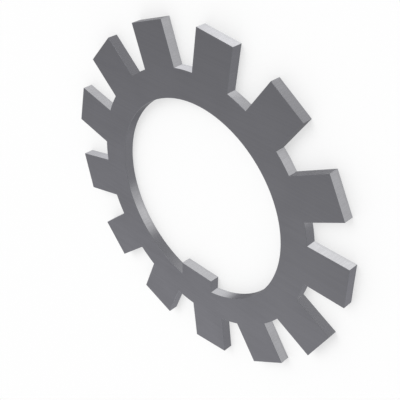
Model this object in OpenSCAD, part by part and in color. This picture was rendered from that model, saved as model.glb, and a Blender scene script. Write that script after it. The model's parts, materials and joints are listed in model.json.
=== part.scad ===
// Bearing lock washer, blanked from steel strip as one flat piece.
// A ring slides over a threaded shaft. Its inner key drops into the shaft's keyway, and one of
// its outer tabs is bent into a slot of the locknut, so that the nut can't turn on the shaft.
// The washer lies on its bearing face at z = 0, with the shaft's axis on +Z.

/* [Strip] */
// Thickness of the steel strip, in mm
strip_t = 1.25; // [0.8:0.05:2.5]

/* [Ring] */
// Diameter of the bore that slides over the shaft, in mm
bore_d = 25; // [22:0.5:60]
// Width of the ring, from the bore to the roots of the tabs, in mm
ring_w = 3.5; // [2.5:0.1:8]

/* [Tabs] */
// Number of outer tabs, odd so that one of them is always near a slot of the nut
tab_count = 13; // [9:2:15]
// Width of each tab between its parallel sides, in mm
tab_w = 5; // [3:0.1:6]
// Length of each tab, from the ring to its straight end, in mm
tab_len = 5; // [2:0.1:10]
// Direction of the first tab, in degrees anticlockwise from +X
tab_start = 0; // [0:1:360]

/* [Key] */
// Width of the key that drops into the shaft's keyway, in mm
key_w = 5; // [3:0.1:8]
// Height of the key, from the bore's wall to its straight end, in mm
key_h = 2; // [1:0.1:4]
// Direction of the key, in degrees anticlockwise from +X
key_dir = 270; // [0:1:360]

/* [Hidden] */

// Sides of a drawn circle
$fn = 180;

// Radius of the bore
bore_r = bore_d / 2;
// Radius of the ring at the roots of the tabs
root_r = bore_r + ring_w;
// Distance from the axis to the straight end of a tab
tip_r = root_r + tab_len;
// Distance from the axis to the straight end of the key
key_r = bore_r - key_h;
// Radius at which tabs and key start, inside the ring, so that each is one metal with it
core_r = bore_r + ring_w / 2;
// Angle between neighbouring tabs
tab_step = 360 / tab_count;

// Outline of a strip with parallel sides that runs along one direction, between two distances
module finger(direction, near_r, far_r, width) {
    rotate(direction)
        translate([near_r, -width / 2])
            square([far_r - near_r, width]);
}

// Outline of the plain ring with its round bore
module ring() {
    difference() {
        circle(r = root_r);
        circle(r = bore_r);
    }
}

// Outline of the outer tabs, evenly spaced round the ring
module tabs() {
    for (i = [0 : tab_count - 1])
        finger(tab_start + i * tab_step, core_r, tip_r, tab_w);
}

// Outline of the inner key
module key() {
    finger(key_dir, key_r, core_r, key_w);
}

// The whole washer: one outline, blanked from the strip
module lock_washer() {
    color([0.44, 0.44, 0.455])
        linear_extrude(height = strip_t)
            union() {
                ring();
                tabs();
                key();
            }
}

lock_washer();
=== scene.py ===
"""Looks of a bearing lock washer: one blank of grey steel strip that lies on a pale floor."""

import json
import logging
import math
from collections import defaultdict
from collections.abc import Mapping
from dataclasses import dataclass
from enum import Enum
from typing import Any

import bpy
from mathutils import Matrix, Vector


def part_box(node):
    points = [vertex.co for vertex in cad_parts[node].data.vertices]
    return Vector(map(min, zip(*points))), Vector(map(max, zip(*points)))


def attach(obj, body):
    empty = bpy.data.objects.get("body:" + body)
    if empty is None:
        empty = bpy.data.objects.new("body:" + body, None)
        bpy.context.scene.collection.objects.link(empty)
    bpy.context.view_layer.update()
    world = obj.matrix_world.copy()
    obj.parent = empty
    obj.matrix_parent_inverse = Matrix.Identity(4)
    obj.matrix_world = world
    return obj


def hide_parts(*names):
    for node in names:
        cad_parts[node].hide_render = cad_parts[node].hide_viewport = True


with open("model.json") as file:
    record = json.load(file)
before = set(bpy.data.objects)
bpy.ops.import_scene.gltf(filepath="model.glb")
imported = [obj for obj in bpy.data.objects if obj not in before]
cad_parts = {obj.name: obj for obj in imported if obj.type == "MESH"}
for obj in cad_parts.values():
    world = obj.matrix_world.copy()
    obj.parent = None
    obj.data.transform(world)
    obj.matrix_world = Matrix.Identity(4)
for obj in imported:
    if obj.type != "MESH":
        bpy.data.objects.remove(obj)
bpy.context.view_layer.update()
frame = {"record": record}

LOG = logging.getLogger("lock_washer_scene")
NODE = "lock_washer"
BODY = "root"
MM = 0.001
MICRON = 0.000001
FULL_TURN = 2.0 * math.pi

Colour = tuple[float, float, float]
Size = tuple[float, float, float]
Socket = bpy.types.NodeSocket
Inputs = Mapping[str | int, Any]

WHITE: Colour = (1.0, 1.0, 1.0)
UP = Vector((0.0, 0.0, 1.0))


def mount(name: str) -> Mapping[str, Any]:
    """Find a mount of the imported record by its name."""
    return next(m for m in frame["record"]["mounts"] if m["name"] == name)


def rgba(colour: Colour) -> tuple[float, float, float, float]:
    """Give a colour full alpha, as a node's colour socket takes it."""
    return (*colour, 1.0)


def heading(azimuth: float, elevation: float) -> Vector:
    """Turn two angles into a direction.

    Args:
        azimuth: Degrees anticlockwise from +X.
        elevation: Degrees over the floor.

    Returns:
        The direction, as a unit vector.
    """
    turn = math.radians(azimuth)
    lift = math.radians(elevation)
    return Vector((math.cos(turn) * math.cos(lift), math.sin(turn) * math.cos(lift), math.sin(lift)))


def facing(back: Vector, above: Vector = UP) -> Matrix:
    """Turn a lamp or a camera so that it looks against a direction.

    Args:
        back: Unit vector from what is looked at to the lamp or camera.
        above: Direction that comes out upright.

    Returns:
        The turn, as a 4 by 4 matrix.
    """
    right = above.cross(back).normalized()
    return Matrix((right, back.cross(right), back)).transposed().to_4x4()


class Sketch:
    """A node tree that is written down rule by rule."""

    def __init__(self, tree: bpy.types.NodeTree) -> None:
        """Keep the tree that the nodes go into."""
        self.tree = tree

    def feed(self, socket: Socket, value: Any) -> None:
        """Link a socket to another one, or set its own value.

        Args:
            socket: The input socket.
            value: An output socket, or a plain value.
        """
        if isinstance(value, Socket):
            self.tree.links.new(value, socket)
        else:
            socket.default_value = value

    def add(self, kind: str, inputs: Inputs | None = None, **settings: Any) -> bpy.types.Node:
        """Add one node.

        Args:
            kind: The node's type name.
            inputs: Values or sockets for its inputs, by name or number.
            settings: The node's own properties.

        Returns:
            The new node.
        """
        node = self.tree.nodes.new(kind)
        for name, value in settings.items():
            setattr(node, name, value)
        for socket, value in (inputs or {}).items():
            self.feed(node.inputs[socket], value)
        return node

    def calc(self, operation: str, *values: Any) -> Socket:
        """Work out one number from others."""
        return self.add("ShaderNodeMath", dict(enumerate(values)), operation=operation).outputs[0]

    def vector(self, x: Any = 0.0, y: Any = 0.0, z: Any = 0.0) -> Socket:
        """Put three numbers together as a vector."""
        return self.add("ShaderNodeCombineXYZ", {"X": x, "Y": y, "Z": z}).outputs[0]

    def height(self, place: Socket) -> Socket:
        """Take the Z of a vector."""
        return self.add("ShaderNodeSeparateXYZ", {"Vector": place}).outputs["Z"]

    def step(self, value: Any, low: Any, high: Any, start: Any = 0.0, end: Any = 1.0) -> Socket:
        """Bring a number from one range to another along a smooth step.

        Args:
            value: The number.
            low: Where the step starts.
            high: Where the step ends.
            start: What it gives at low.
            end: What it gives at high.

        Returns:
            The socket with the new number.
        """
        inputs = {"Value": value, "From Min": low, "From Max": high, "To Min": start, "To Max": end}
        return self.add("ShaderNodeMapRange", inputs, interpolation_type="SMOOTHSTEP").outputs[0]

    def choice(self, share: Any, first: Any, second: Any) -> Socket:
        """Blend from a first number to a second one by a share."""
        return self.add("ShaderNodeMix", {0: share, 2: first, 3: second}, data_type="FLOAT").outputs[0]

    def blend(self, share: Any, first: Socket, second: Socket) -> Socket:
        """Blend from a first shader to a second one by a share."""
        return self.add("ShaderNodeMixShader", {0: share, 1: first, 2: second}).outputs[0]


class BlankTree:
    """Geometry Nodes that draw the washer's outline and cut it from the strip."""

    SIZES = {
        "Bore radius": "NodeSocketFloat",
        "Root radius": "NodeSocketFloat",
        "Tab reach": "NodeSocketFloat",
        "Tab width": "NodeSocketFloat",
        "Tab count": "NodeSocketInt",
        "Key reach": "NodeSocketFloat",
        "Key width": "NodeSocketFloat",
        "Key direction": "NodeSocketFloat",
        "Thickness": "NodeSocketFloat",
        "Root arc points": "NodeSocketInt",
        "Bore arc points": "NodeSocketInt",
        "Lower edge share": "NodeSocketFloat",
        "Finish": "NodeSocketMaterial",
    }
    # Points that lie closer than this are one point
    WELD = 1.0 * MICRON
    # Edges that turn by more than this are corners
    CORNER = math.radians(30.0)
    # Name under which the Bevel modifier looks for an edge's weight
    EDGE_WEIGHT = "bevel_weight_edge"

    def __init__(self) -> None:
        """Make the tree, with one named input for each size."""
        self.tree = bpy.data.node_groups.new("washer_blank", "GeometryNodeTree")
        self.sockets = {
            name: self.tree.interface.new_socket(name, in_out="INPUT", socket_type=kind)
            for name, kind in self.SIZES.items()
        }
        self.tree.interface.new_socket("Blank", in_out="OUTPUT", socket_type="NodeSocketGeometry")
        self.sketch = Sketch(self.tree)
        self.size = self.sketch.add("NodeGroupInput").outputs
        self.draw()

    def draw(self) -> None:
        """Draw both outlines, fill what lies between them and give it the strip's thickness."""
        outlines = self.joined(self.tab_outline(), self.bore_outline())
        sheet = self.sketch.add("GeometryNodeFillCurve", {"Curve": outlines}, mode="NGONS").outputs[0]
        solid = self.realized(self.weighted(self.thickened(sheet)))
        inputs = {"Geometry": solid, "Material": self.size["Finish"]}
        blank = self.sketch.add("GeometryNodeSetMaterial", inputs).outputs[0]
        self.sketch.add("NodeGroupOutput", {"Blank": blank})

    def joined(self, *parts: Socket) -> Socket:
        """Put several geometries together.

        Args:
            parts: The geometries.

        Returns:
            All of them as one geometry.
        """
        node = self.sketch.add("GeometryNodeJoinGeometry")
        for part in parts:
            self.sketch.feed(node.inputs[0], part)
        return node.outputs[0]

    def realized(self, part: Socket) -> Socket:
        """Turn instances into geometry of their own."""
        return self.sketch.add("GeometryNodeRealizeInstances", {"Geometry": part}).outputs[0]

    def welded(self, part: Socket) -> Socket:
        """Merge the points of a geometry that meet."""
        inputs = {"Geometry": part, "Distance": self.WELD}
        return self.sketch.add("GeometryNodeMergeByDistance", inputs).outputs[0]

    def loop(self, lines: Socket) -> Socket:
        """Join lines end to end into one closed curve."""
        mesh = self.sketch.add("GeometryNodeCurveToMesh", {"Curve": lines}).outputs[0]
        return self.sketch.add("GeometryNodeMeshToCurve", {"Mesh": self.welded(mesh)}).outputs[0]

    def finger_and_arc(
        self, radius: Socket, reach: Socket, width: Socket, sweep: Any, points: Socket
    ) -> Socket:
        """Draw a finger with parallel sides on +X and the arc that goes on from its second root.

        Args:
            radius: The circle's radius.
            reach: Distance from the axis to the finger's straight end.
            width: The finger's width.
            sweep: Angle from the finger's middle to the middle of the next one.
            points: Number of points on the arc.

        Returns:
            The lines and the arc as curves.
        """
        sketch = self.sketch
        half = sketch.calc("DIVIDE", width, 2.0)
        other_half = sketch.calc("MULTIPLY", half, -1.0)
        root_angle = sketch.calc("ARCSINE", sketch.calc("DIVIDE", half, radius))
        root = sketch.calc("MULTIPLY", radius, sketch.calc("COSINE", root_angle))
        corners = [
            sketch.vector(root, other_half),
            sketch.vector(reach, other_half),
            sketch.vector(reach, half),
            sketch.vector(root, half),
        ]
        sides = [
            sketch.add("GeometryNodeCurvePrimitiveLine", {"Start": start, "End": end}).outputs[0]
            for start, end in zip(corners, corners[1:])
        ]
        arc = {
            "Resolution": points,
            "Radius": radius,
            "Start Angle": root_angle,
            "Sweep Angle": sketch.calc("SUBTRACT", sweep, sketch.calc("MULTIPLY", root_angle, 2.0)),
        }
        return self.joined(*sides, sketch.add("GeometryNodeCurveArc", arc).outputs["Curve"])

    def tab_outline(self) -> Socket:
        """Repeat one tab and its root arc round the ring, and close them into one line.

        Returns:
            The outer outline.
        """
        sketch, size = self.sketch, self.size
        pitch = sketch.calc("DIVIDE", FULL_TURN, size["Tab count"])
        sector = self.finger_and_arc(
            size["Root radius"], size["Tab reach"], size["Tab width"], pitch, size["Root arc points"]
        )
        centres = sketch.add("GeometryNodePoints", {"Count": size["Tab count"]}).outputs[0]
        index = sketch.add("GeometryNodeInputIndex").outputs[0]
        turn = sketch.vector(z=sketch.calc("MULTIPLY", index, pitch))
        inputs = {"Points": centres, "Instance": sector, "Rotation": turn}
        return self.loop(self.realized(sketch.add("GeometryNodeInstanceOnPoints", inputs).outputs[0]))

    def bore_outline(self) -> Socket:
        """Draw the bore with its key, turned to the key's direction.

        Returns:
            The inner outline.
        """
        sketch, size = self.sketch, self.size
        bore = self.finger_and_arc(
            size["Bore radius"], size["Key reach"], size["Key width"], FULL_TURN, size["Bore arc points"]
        )
        inputs = {"Geometry": bore, "Rotation": sketch.vector(z=size["Key direction"])}
        return self.loop(sketch.add("GeometryNodeTransform", inputs).outputs[0])

    def thickened(self, sheet: Socket) -> Socket:
        """Raise a flat sheet to the strip's thickness and close it underneath.

        Args:
            sheet: The flat sheet.

        Returns:
            The closed solid.
        """
        inputs = {
            "Mesh": sheet,
            "Offset": UP,
            "Offset Scale": self.size["Thickness"],
            "Individual": False,
        }
        raised = self.sketch.add("GeometryNodeExtrudeMesh", inputs).outputs["Mesh"]
        underside = self.sketch.add("GeometryNodeFlipFaces", {"Mesh": sheet}).outputs[0]
        return self.welded(self.joined(raised, underside))

    def weighted(self, solid: Socket) -> Socket:
        """Mark how far each corner is rounded: most at the upper face, least at the lower one.

        Args:
            solid: The closed solid.

        Returns:
            The solid with a weight on each of its edges.
        """
        sketch, size = self.sketch, self.size
        ends = sketch.add("GeometryNodeInputMeshEdgeVertices").outputs
        heights = [sketch.height(ends[name]) for name in ("Position 1", "Position 2")]
        share = {
            "Value": sketch.calc("DIVIDE", sketch.calc("ADD", *heights), 2.0),
            "From Max": size["Thickness"],
            "To Min": size["Lower edge share"],
            "To Max": 1.0,
        }
        angle = sketch.add("GeometryNodeInputMeshEdgeAngle").outputs["Unsigned Angle"]
        inputs = {
            "Geometry": solid,
            "Selection": sketch.calc("GREATER_THAN", angle, self.CORNER),
            "Name": self.EDGE_WEIGHT,
            "Value": sketch.add("ShaderNodeMapRange", share).outputs[0],
        }
        kind = "GeometryNodeStoreNamedAttribute"
        return sketch.add(kind, inputs, data_type="FLOAT", domain="EDGE").outputs[0]

    def put_on(self, piece: bpy.types.Object, values: Mapping[str, Any]) -> None:
        """Give a piece this tree as a modifier, with its sizes set by socket identifier.

        Args:
            piece: The object that the tree shapes.
            values: A value for each named input.
        """
        modifier = piece.modifiers.new("blank", "NODES")
        modifier.node_group = self.tree
        for name, value in values.items():
            modifier[self.sockets[name].identifier] = value


@dataclass(frozen=True)
class Finish:
    """One surface of the steel.

    Attributes:
        name: The material's name.
        shade: Linear colour of the bare metal.
        shade_swing: Share by which the pattern lightens and darkens it.
        roughness: Mean roughness.
        roughness_swing: How far the pattern moves the roughness each way.
        cloud_size: Size of one soft cloud, in metres.
        line_size: Size of one grain line along X, Y and Z, in metres.
        line_depth: Depth of the grain lines, in metres.
        edge_reflection: Share of each colour that is left in reflections at grazing angles.
        scratch_depth: Depth of the hairline scratches, in metres.
        fracture_height: Height up to which the metal broke when it was sheared, in metres.
    """

    name: str
    shade: Colour
    shade_swing: float
    roughness: float
    roughness_swing: float
    cloud_size: float
    line_size: Size
    line_depth: float
    edge_reflection: Colour = (0.85, 0.85, 0.89)
    scratch_depth: float = 0.0
    fracture_height: float = 0.0


class Steel(Enum):
    """The three surfaces of the blank: as rolled, as sheared, and rubbed along the edges."""

    ROLLED_FACE = Finish(
        name="rolled_face",
        shade=(0.152, 0.152, 0.1645),
        shade_swing=0.03,
        roughness=0.40,
        roughness_swing=0.03,
        cloud_size=5.0 * MM,
        line_size=(9.0 * MM, 0.12 * MM, 0.12 * MM),
        line_depth=0.4 * MICRON,
        edge_reflection=(0.70, 0.70, 0.73),
        scratch_depth=0.8 * MICRON,
    )
    SHEARED_WALL = Finish(
        name="sheared_wall",
        shade=(0.172, 0.172, 0.187),
        shade_swing=0.05,
        roughness=0.20,
        roughness_swing=0.03,
        cloud_size=2.5 * MM,
        line_size=(0.10 * MM, 0.10 * MM, 1.6 * MM),
        line_depth=0.5 * MICRON,
        fracture_height=0.35 * MM,
    )
    RUBBED_EDGE = Finish(
        name="rubbed_edge",
        shade=(0.172, 0.172, 0.187),
        shade_swing=0.08,
        roughness=0.38,
        roughness_swing=0.05,
        cloud_size=1.5 * MM,
        line_size=(0.4 * MM, 0.4 * MM, 0.4 * MM),
        line_depth=0.2 * MICRON,
    )


class SteelShop:
    """Makes the materials of the steel from one shared pattern.

    The pattern is a shader node group that divides the coordinates by a feature's size, so that
    the same noise is a cloud, a grain line, a scratch or the ragged top of a fracture.
    """

    # Layers of finer and finer noise in the pattern
    NOISE_DETAIL = 3.0
    # Levels of the noise between which a soft mask rises
    SOFT_LEVELS = (0.30, 0.70)
    # Share of the clouds in a surface's tone, beside the grain lines
    CLOUD_SHARE = 0.4
    # Size of a hairline scratch along X, Y and Z, the levels that keep scratches few, and their slant
    SCRATCH_SIZE = (6.0 * MM, 0.035 * MM, 0.035 * MM)
    SCRATCH_LEVELS = (0.70, 0.78)
    SCRATCH_TURN = math.radians(24.0)
    # Size and height of the ragged line on top of a fracture, and how fast it fades
    RAGGED_SIZE = (0.5 * MM, 0.5 * MM, 0.5 * MM)
    RAGGED_HEIGHT = 0.25 * MM
    FRACTURE_FADE = 0.06 * MM

    def __init__(self) -> None:
        """Build the shared pattern once."""
        self.pattern = self.make_pattern()

    def make_pattern(self) -> bpy.types.NodeTree:
        """Build the group: noise of a given feature size, cut to a mask between two levels.

        Returns:
            The shader node group, with the inputs Vector, Feature size, Low and High.
        """
        tree = bpy.data.node_groups.new("steel_pattern", "ShaderNodeTree")
        for name, kind in (
            ("Vector", "NodeSocketVector"),
            ("Feature size", "NodeSocketVector"),
            ("Low", "NodeSocketFloat"),
            ("High", "NodeSocketFloat"),
        ):
            tree.interface.new_socket(name, in_out="INPUT", socket_type=kind)
        tree.interface.new_socket("Mask", in_out="OUTPUT", socket_type="NodeSocketFloat")
        sketch = Sketch(tree)
        given = sketch.add("NodeGroupInput").outputs
        ratio = {0: given["Vector"], 1: given["Feature size"]}
        place = sketch.add("ShaderNodeVectorMath", ratio, operation="DIVIDE").outputs[0]
        inputs = {"Vector": place, "Scale": 1.0, "Detail": self.NOISE_DETAIL}
        noise = sketch.add("ShaderNodeTexNoise", inputs).outputs[0]
        sketch.add("NodeGroupOutput", {"Mask": sketch.step(noise, given["Low"], given["High"])})
        return tree

    def mask(self, sketch: Sketch, place: Socket, size: Size, levels: tuple[float, float]) -> Socket:
        """Place the shared pattern in a material.

        Args:
            sketch: The material's tree.
            place: The coordinates.
            size: Size of one feature along X, Y and Z, in metres.
            levels: Where the mask starts and where it is full.

        Returns:
            The mask's socket.
        """
        low, high = levels
        inputs = {"Vector": place, "Feature size": size, "Low": low, "High": high}
        return sketch.add("ShaderNodeGroup", inputs, node_tree=self.pattern).outputs["Mask"]

    def make(self, steel: Steel) -> bpy.types.Material:
        """Make the material of one surface.

        Args:
            steel: Which surface.

        Returns:
            The material.
        """
        finish = steel.value
        material = bpy.data.materials.new(finish.name)
        material.use_nodes = True
        sketch = Sketch(material.node_tree)
        surface = material.node_tree.nodes["Principled BSDF"].inputs
        place = sketch.add("ShaderNodeTexCoord").outputs["Object"]
        lines = self.mask(sketch, place, finish.line_size, self.SOFT_LEVELS)
        tone = self.tone(sketch, place, lines, finish)
        sketch.feed(surface["Base Color"], self.colour(sketch, tone, finish))
        dull = finish.roughness + finish.roughness_swing
        smooth = finish.roughness - finish.roughness_swing
        sketch.feed(surface["Roughness"], sketch.step(tone, 0.0, 1.0, dull, smooth))
        sketch.feed(surface["Normal"], self.relief(sketch, place, lines, finish))
        surface["Metallic"].default_value = 1.0
        surface["Specular Tint"].default_value = rgba(finish.edge_reflection)
        return material

    def tone(self, sketch: Sketch, place: Socket, lines: Socket, finish: Finish) -> Socket:
        """Work out where a surface is light and smooth, and where it is dark and dull.

        Args:
            sketch: The material's tree.
            place: The coordinates.
            lines: The mask of the grain lines.
            finish: The surface's values.

        Returns:
            The tone, from 0 for dark and dull to 1 for light and smooth.
        """
        clouds = self.mask(sketch, place, (finish.cloud_size,) * 3, self.SOFT_LEVELS)
        share = sketch.calc("MULTIPLY", clouds, self.CLOUD_SHARE)
        tone = sketch.calc("MULTIPLY_ADD", lines, 1.0 - self.CLOUD_SHARE, share)
        if not finish.fracture_height:
            return tone
        ragged = self.mask(sketch, place, self.RAGGED_SIZE, self.SOFT_LEVELS)
        height = sketch.calc("MULTIPLY_ADD", ragged, self.RAGGED_HEIGHT, sketch.height(place))
        low = finish.fracture_height - self.FRACTURE_FADE
        high = finish.fracture_height + self.FRACTURE_FADE
        return sketch.calc("MULTIPLY", tone, sketch.step(height, low, high))

    @staticmethod
    def colour(sketch: Sketch, tone: Socket, finish: Finish) -> Socket:
        """Turn a surface's tone into its colour.

        Args:
            sketch: The material's tree.
            tone: The tone.
            finish: The surface's values.

        Returns:
            The colour's socket.
        """
        ramp = sketch.add("ShaderNodeValToRGB", {"Fac": tone})
        for stop, swing in zip(ramp.color_ramp.elements, (-finish.shade_swing, finish.shade_swing)):
            stop.color = rgba(tuple(part * (1.0 + swing) for part in finish.shade))
        return ramp.outputs["Color"]

    def relief(self, sketch: Sketch, place: Socket, lines: Socket, finish: Finish) -> Socket:
        """Cut the grain lines, and the scratches where a surface has them, into its normal.

        Args:
            sketch: The material's tree.
            place: The coordinates.
            lines: The mask of the grain lines.
            finish: The surface's values.

        Returns:
            The normal's socket.
        """
        grain = sketch.add("ShaderNodeBump", {"Height": lines, "Distance": finish.line_depth})
        if not finish.scratch_depth:
            return grain.outputs[0]
        inputs = {"Vector": place, "Angle": self.SCRATCH_TURN}
        turned = sketch.add("ShaderNodeVectorRotate", inputs, rotation_type="Z_AXIS").outputs[0]
        inputs = {
            "Height": self.mask(sketch, turned, self.SCRATCH_SIZE, self.SCRATCH_LEVELS),
            "Distance": finish.scratch_depth,
            "Normal": grain.outputs[0],
        }
        return sketch.add("ShaderNodeBump", inputs, invert=True).outputs[0]


@dataclass
class LockWasher:
    """The washer: one blank with a ring, outer tabs and an inner key.

    Attributes:
        bore_radius: Radius of the bore.
        thickness: Thickness of the strip.
        tab_reach: Distance from the axis to the straight end of a tab.
        tab_count: Number of tabs.
        ring_width: Width of the ring between the bore and the roots of the tabs.
        tab_width: Width of a tab.
        key_width: Width of the key.
        key_height: Height of the key over the bore's wall.
        key_azimuth: Direction of the key, in degrees from +X.
        edge_radius: Rounding along the upper face, where the die drew the metal in.
        lower_edge_share: Rounding along the lower face, as a share of the upper one.
    """

    bore_radius: float
    thickness: float
    tab_reach: float
    tab_count: int
    ring_width: float = 3.5 * MM
    tab_width: float = 5.0 * MM
    key_width: float = 5.0 * MM
    key_height: float = 2.0 * MM
    key_azimuth: float = -90.0
    edge_radius: float = 0.03 * MM
    lower_edge_share: float = 0.5

    NAME = "washer_blank"
    # Points on the arc between two tabs, and on the bore
    ROOT_ARC_POINTS = 12
    BORE_ARC_POINTS = 241
    # Faces across a rounded edge
    EDGE_SEGMENTS = 3
    # Upright part of a normal from which a face counts as level
    LEVEL = 0.999

    @classmethod
    def from_frame(cls) -> "LockWasher":
        """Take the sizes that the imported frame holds; the first tab lies on +X.

        Returns:
            The washer, with its other sizes as they are set here.
        """
        low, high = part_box(NODE)
        return cls(
            bore_radius=mount("keyed_bore")["dims"]["r_mm"] * MM,
            thickness=high.z - low.z,
            tab_reach=high.x,
            tab_count=mount("lock_tab")["dims"]["count"],
        )

    def build(self, shop: SteelShop) -> bpy.types.Object:
        """Cut the blank, round its edges, make it a plain mesh and dress it.

        Args:
            shop: Where the materials come from.

        Returns:
            The finished piece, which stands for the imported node.
        """
        finishes = {steel: shop.make(steel) for steel in Steel}
        piece = bpy.data.objects.new(self.NAME, bpy.data.meshes.new(self.NAME))
        bpy.context.scene.collection.objects.link(piece)
        BlankTree().put_on(piece, self.tree_values(finishes[Steel.ROLLED_FACE]))
        self.round_edges(piece)
        self.settle(piece)
        self.dress(piece.data, finishes)
        self.shade(piece.data)
        # The walls mirror the studio alone, not each other, so that no inner corner turns black
        piece.visible_glossy = False
        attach(piece, BODY)
        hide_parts(NODE)
        return piece

    def tree_values(self, finish: bpy.types.Material) -> dict[str, Any]:
        """Give each named input of the blank's tree its value.

        Args:
            finish: The material that the tree sets.

        Returns:
            The values by the inputs' names.
        """
        return {
            "Bore radius": self.bore_radius,
            "Root radius": self.bore_radius + self.ring_width,
            "Tab reach": self.tab_reach,
            "Tab width": self.tab_width,
            "Tab count": self.tab_count,
            "Key reach": self.bore_radius - self.key_height,
            "Key width": self.key_width,
            "Key direction": math.radians(self.key_azimuth),
            "Thickness": self.thickness,
            "Root arc points": self.ROOT_ARC_POINTS,
            "Bore arc points": self.BORE_ARC_POINTS,
            "Lower edge share": self.lower_edge_share,
            "Finish": finish,
        }

    def round_edges(self, piece: bpy.types.Object) -> None:
        """Round the marked edges by their weight.

        Args:
            piece: The blank, with its tree on it.
        """
        bevel = piece.modifiers.new("edges", "BEVEL")
        bevel.limit_method = "WEIGHT"
        bevel.width = self.edge_radius
        bevel.segments = self.EDGE_SEGMENTS

    def settle(self, piece: bpy.types.Object) -> None:
        """Turn the evaluated shape into the piece's own plain mesh, with no modifier left.

        Args:
            piece: The blank, with its modifiers on it.
        """
        shape = piece.evaluated_get(bpy.context.evaluated_depsgraph_get())
        mesh = bpy.data.meshes.new_from_object(shape)
        mesh.name = self.NAME
        piece.modifiers.clear()
        piece.data = mesh

    def dress(self, mesh: bpy.types.Mesh, finishes: Mapping[Steel, bpy.types.Material]) -> None:
        """Give each face of the mesh the finish of its surface.

        Args:
            mesh: The piece's mesh.
            finishes: A material for each surface.
        """
        order = list(Steel)
        mesh.materials.clear()
        for steel in order:
            mesh.materials.append(finishes[steel])
        for face in mesh.polygons:
            face.material_index = order.index(self.surface_of(face))

    def surface_of(self, face: bpy.types.MeshPolygon) -> Steel:
        """Tell level faces, upright walls and the narrow faces of the rounded edges apart.

        Args:
            face: A face of the piece's mesh.

        Returns:
            The surface that the face is part of.
        """
        lift = abs(face.normal.z)
        if lift > self.LEVEL:
            return Steel.ROLLED_FACE
        if lift < 1.0 - self.LEVEL and face.area > self.edge_radius * self.thickness:
            return Steel.SHEARED_WALL
        return Steel.RUBBED_EDGE

    @staticmethod
    def shade(mesh: bpy.types.Mesh) -> None:
        """Shade each surface smooth by itself, with a crisp line where two of them meet.

        Args:
            mesh: The piece's mesh, with its finishes on it.
        """
        beside: dict[int, set[int]] = defaultdict(set)
        for face in mesh.polygons:
            face.use_smooth = True
            for corner in face.loop_indices:
                beside[mesh.loops[corner].edge_index].add(face.material_index)
        for edge, finishes in beside.items():
            mesh.edges[edge].use_edge_sharp = len(finishes) > 1


@dataclass(frozen=True)
class SoftPatch:
    """A soft round patch of the studio, brighter or darker than what is round it.

    Attributes:
        azimuth: Direction of its middle, in degrees from +X.
        elevation: Height of its middle over the floor, in degrees.
        radiance: What it adds to the brightness there, where 1 is white. Below 0 it darkens.
        inner: Half angle of its even middle, in degrees.
        outer: Half angle at which it has faded out, in degrees.
    """

    azimuth: float
    elevation: float
    radiance: float
    inner: float
    outer: float

    def draw(self, sketch: Sketch, ray: Socket) -> Socket:
        """Work out what the patch adds along a ray.

        Args:
            sketch: The world's tree.
            ray: The ray's direction.

        Returns:
            The brightness that it adds.
        """
        inputs = {0: ray, 1: heading(self.azimuth, self.elevation)}
        along = sketch.add("ShaderNodeVectorMath", inputs, operation="DOT_PRODUCT").outputs["Value"]
        low = math.cos(math.radians(self.outer))
        high = math.cos(math.radians(self.inner))
        return sketch.step(along, low, high, 0.0, self.radiance)


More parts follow.
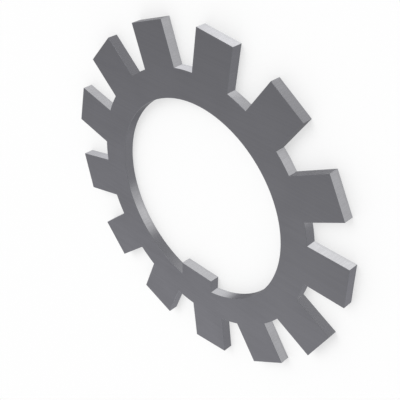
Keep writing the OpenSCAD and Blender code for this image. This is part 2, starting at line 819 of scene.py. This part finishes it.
@dataclass
class Studio:
    """Floor, light and camera round the washer.

    The walls of the lying washer mirror what is below the floor's level. So the lower half of the
    world is the white ground that they show, with soft windows and a dark card in it, and the floor
    lets mirrored rays through to it.

    Attributes:
        target: The point that the camera looks at.
        camera_distance: Distance from the target to the camera.
        camera_angle: The camera's field of view, in degrees.
        dome: Brightness of the studio over the floor, where 1 is white.
        bright_side: The dome's bright side.
        ground: Brightness of the ground that the walls mirror, where 1 is white.
        dark_card: A card on the ground, which keeps the walls dark where they are seen edge on.
        windows: The bright patches that the walls mirror, the second at the upper edge of the first.
        window_colour: Colour of the windows, a little warm, so that bluish steel mirrors them white.
        lamp_azimuth: Direction of the soft lamp, in degrees from +X.
        lamp_elevation: Height of the lamp over the floor, in degrees.
        lamp_spread: Angle across the lamp, seen from the washer, in degrees.
        lamp_share: Brightness that the lamp adds to a white floor, where 1 is white.
        floor_side: Side of the square floor.
        floor_drop: Depth of the floor under the washer's lower face.
        floor_shade: Colour of the floor.
        floor_glow: Share of the floor's brightness to the camera that no shadow takes away.
    """

    target: Vector
    camera_distance: float = 85.8 * MM
    camera_angle: float = 30.0
    dome: float = 0.8
    bright_side: SoftPatch = SoftPatch(
        azimuth=-114.0, elevation=0.0, radiance=1.0, inner=0.0, outer=54.0
    )
    ground: float = 0.95
    dark_card: SoftPatch = SoftPatch(
        azimuth=226.0, elevation=-60.0, radiance=-0.63, inner=14.0, outer=52.0
    )
    windows: tuple[SoftPatch, ...] = (
        SoftPatch(azimuth=21.0, elevation=-50.0, radiance=1.2, inner=22.0, outer=30.0),
        SoftPatch(azimuth=32.0, elevation=-30.0, radiance=0.75, inner=5.0, outer=20.0),
        SoftPatch(azimuth=105.0, elevation=-58.0, radiance=1.3, inner=22.0, outer=28.5),
        SoftPatch(azimuth=144.5, elevation=-39.0, radiance=1.95, inner=15.0, outer=32.5),
    )
    window_colour: Colour = (1.0, 1.0, 0.93)
    lamp_azimuth: float = 110.0
    lamp_elevation: float = 50.0
    lamp_spread: float = 44.0
    lamp_share: float = 0.24
    floor_side: float = 2000.0 * MM
    floor_drop: float = 0.01 * MM
    floor_shade: float = 0.9
    floor_glow: float = 0.5

    # Direction from the washer to the camera, and the washer's side that comes out on top
    VIEW_BACK = Vector((1.0, 1.0, 1.0)).normalized()
    VIEW_UP = Vector((0.0, 1.0, 0.0))
    # Width of the camera's sensor, in its own millimetres
    SENSOR = 36.0
    # Sine of the angle over which the dome ends at the floor's level
    HORIZON = 0.02

    def build(self) -> None:
        """Make the world, the lamp, the floor and the camera."""
        bpy.context.scene.view_settings.view_transform = "Standard"
        self.make_world()
        self.make_lamp()
        self.make_floor()
        self.make_camera()

    def make_world(self) -> None:
        """Put a soft dome over the washer and the ground under it, both white to the camera."""
        world = bpy.data.worlds.new("studio")
        bpy.context.scene.world = world
        world.use_nodes = True
        world.node_tree.nodes.clear()
        sketch = Sketch(world.node_tree)
        ray = sketch.add("ShaderNodeTexCoord").outputs["Generated"]
        upper = sketch.calc("ADD", self.bright_side.draw(sketch, ray), self.dome)
        lower = sketch.calc("ADD", self.dark_card.draw(sketch, ray), self.ground)
        above = sketch.step(sketch.height(ray), -self.HORIZON, self.HORIZON)
        camera = sketch.add("ShaderNodeLightPath").outputs["Is Camera Ray"]
        white = sketch.choice(camera, sketch.choice(above, lower, upper), 1.0)
        warm: Any = 0.0
        for window in self.windows:
            warm = sketch.calc("ADD", warm, window.draw(sketch, ray))
        lights = [
            sketch.add("ShaderNodeBackground", {"Color": rgba(colour), "Strength": strength}).outputs[0]
            for colour, strength in ((WHITE, white), (self.window_colour, warm))
        ]
        whole = sketch.add("ShaderNodeAddShader", dict(enumerate(lights))).outputs[0]
        sketch.add("ShaderNodeOutputWorld", {"Surface": whole})

    def make_lamp(self) -> None:
        """Hang one wide soft lamp far over the floor, which gives the washer its shadow."""
        back = heading(self.lamp_azimuth, self.lamp_elevation)
        light = bpy.data.lights.new("soft_lamp", "SUN")
        light.angle = math.radians(self.lamp_spread)
        light.energy = self.lamp_share * math.pi / back.z
        lamp = bpy.data.objects.new("soft_lamp", light)
        lamp.matrix_world = facing(back)
        bpy.context.scene.collection.objects.link(lamp)

    def make_floor(self) -> None:
        """Lay the pale floor under the washer."""
        half = self.floor_side / 2.0
        signs = ((-1, -1), (1, -1), (1, 1), (-1, 1))
        corners = [(x * half, y * half, -self.floor_drop) for x, y in signs]
        mesh = bpy.data.meshes.new("floor")
        mesh.from_pydata(corners, [], [range(len(corners))])
        mesh.materials.append(self.make_floor_finish())
        floor = bpy.data.objects.new("floor", mesh)
        bpy.context.scene.collection.objects.link(floor)

    def make_floor_finish(self) -> bpy.types.Material:
        """Make the floor white to the camera, with the washer's shadow, and clear to mirrored rays.

        Returns:
            The floor's material.
        """
        material = bpy.data.materials.new("pale_floor")
        material.use_nodes = True
        material.node_tree.nodes.clear()
        sketch = Sketch(material.node_tree)
        path = sketch.add("ShaderNodeLightPath").outputs
        matt = sketch.add("ShaderNodeBsdfDiffuse", {"Color": rgba((self.floor_shade,) * 3)}).outputs[0]
        glow = sketch.add("ShaderNodeEmission", {"Color": rgba(WHITE), "Strength": 1.0}).outputs[0]
        clear = sketch.add("ShaderNodeBsdfTransparent").outputs[0]
        seen = sketch.blend(path["Is Camera Ray"], matt, sketch.blend(self.floor_glow, matt, glow))
        passed = sketch.add("ShaderNodeNewGeometry").outputs["Backfacing"]
        for ray in ("Is Glossy Ray", "Is Transmission Ray", "Is Shadow Ray"):
            passed = sketch.calc("MAXIMUM", passed, path[ray])
        sketch.add("ShaderNodeOutputMaterial", {"Surface": sketch.blend(passed, seen, clear)})
        return material

    def make_camera(self) -> None:
        """Look down on the lying washer from the photograph's viewing angle, with the key below."""
        data = bpy.data.cameras.new("camera")
        data.sensor_width = self.SENSOR
        data.lens = self.SENSOR / 2.0 / math.tan(math.radians(self.camera_angle) / 2.0)
        data.clip_start = MM
        camera = bpy.data.objects.new("camera", data)
        place = Matrix.Translation(self.target + self.VIEW_BACK * self.camera_distance)
        camera.matrix_world = place @ facing(self.VIEW_BACK, self.VIEW_UP)
        bpy.context.scene.collection.objects.link(camera)
        bpy.context.scene.camera = camera


def main() -> None:
    """Build the washer, then the studio round it."""
    logging.basicConfig(level=logging.INFO, format="%(name)s: %(message)s")
    washer = LockWasher.from_frame()
    piece = washer.build(SteelShop())
    LOG.info("%s: %d faces, %d tabs", piece.name, len(piece.data.polygons), washer.tab_count)
    Studio(target=Vector((0.0, 0.0, washer.thickness / 2.0))).build()
    LOG.info("studio: world, lamp, floor and camera")


if __name__ == "__main__":
    main()
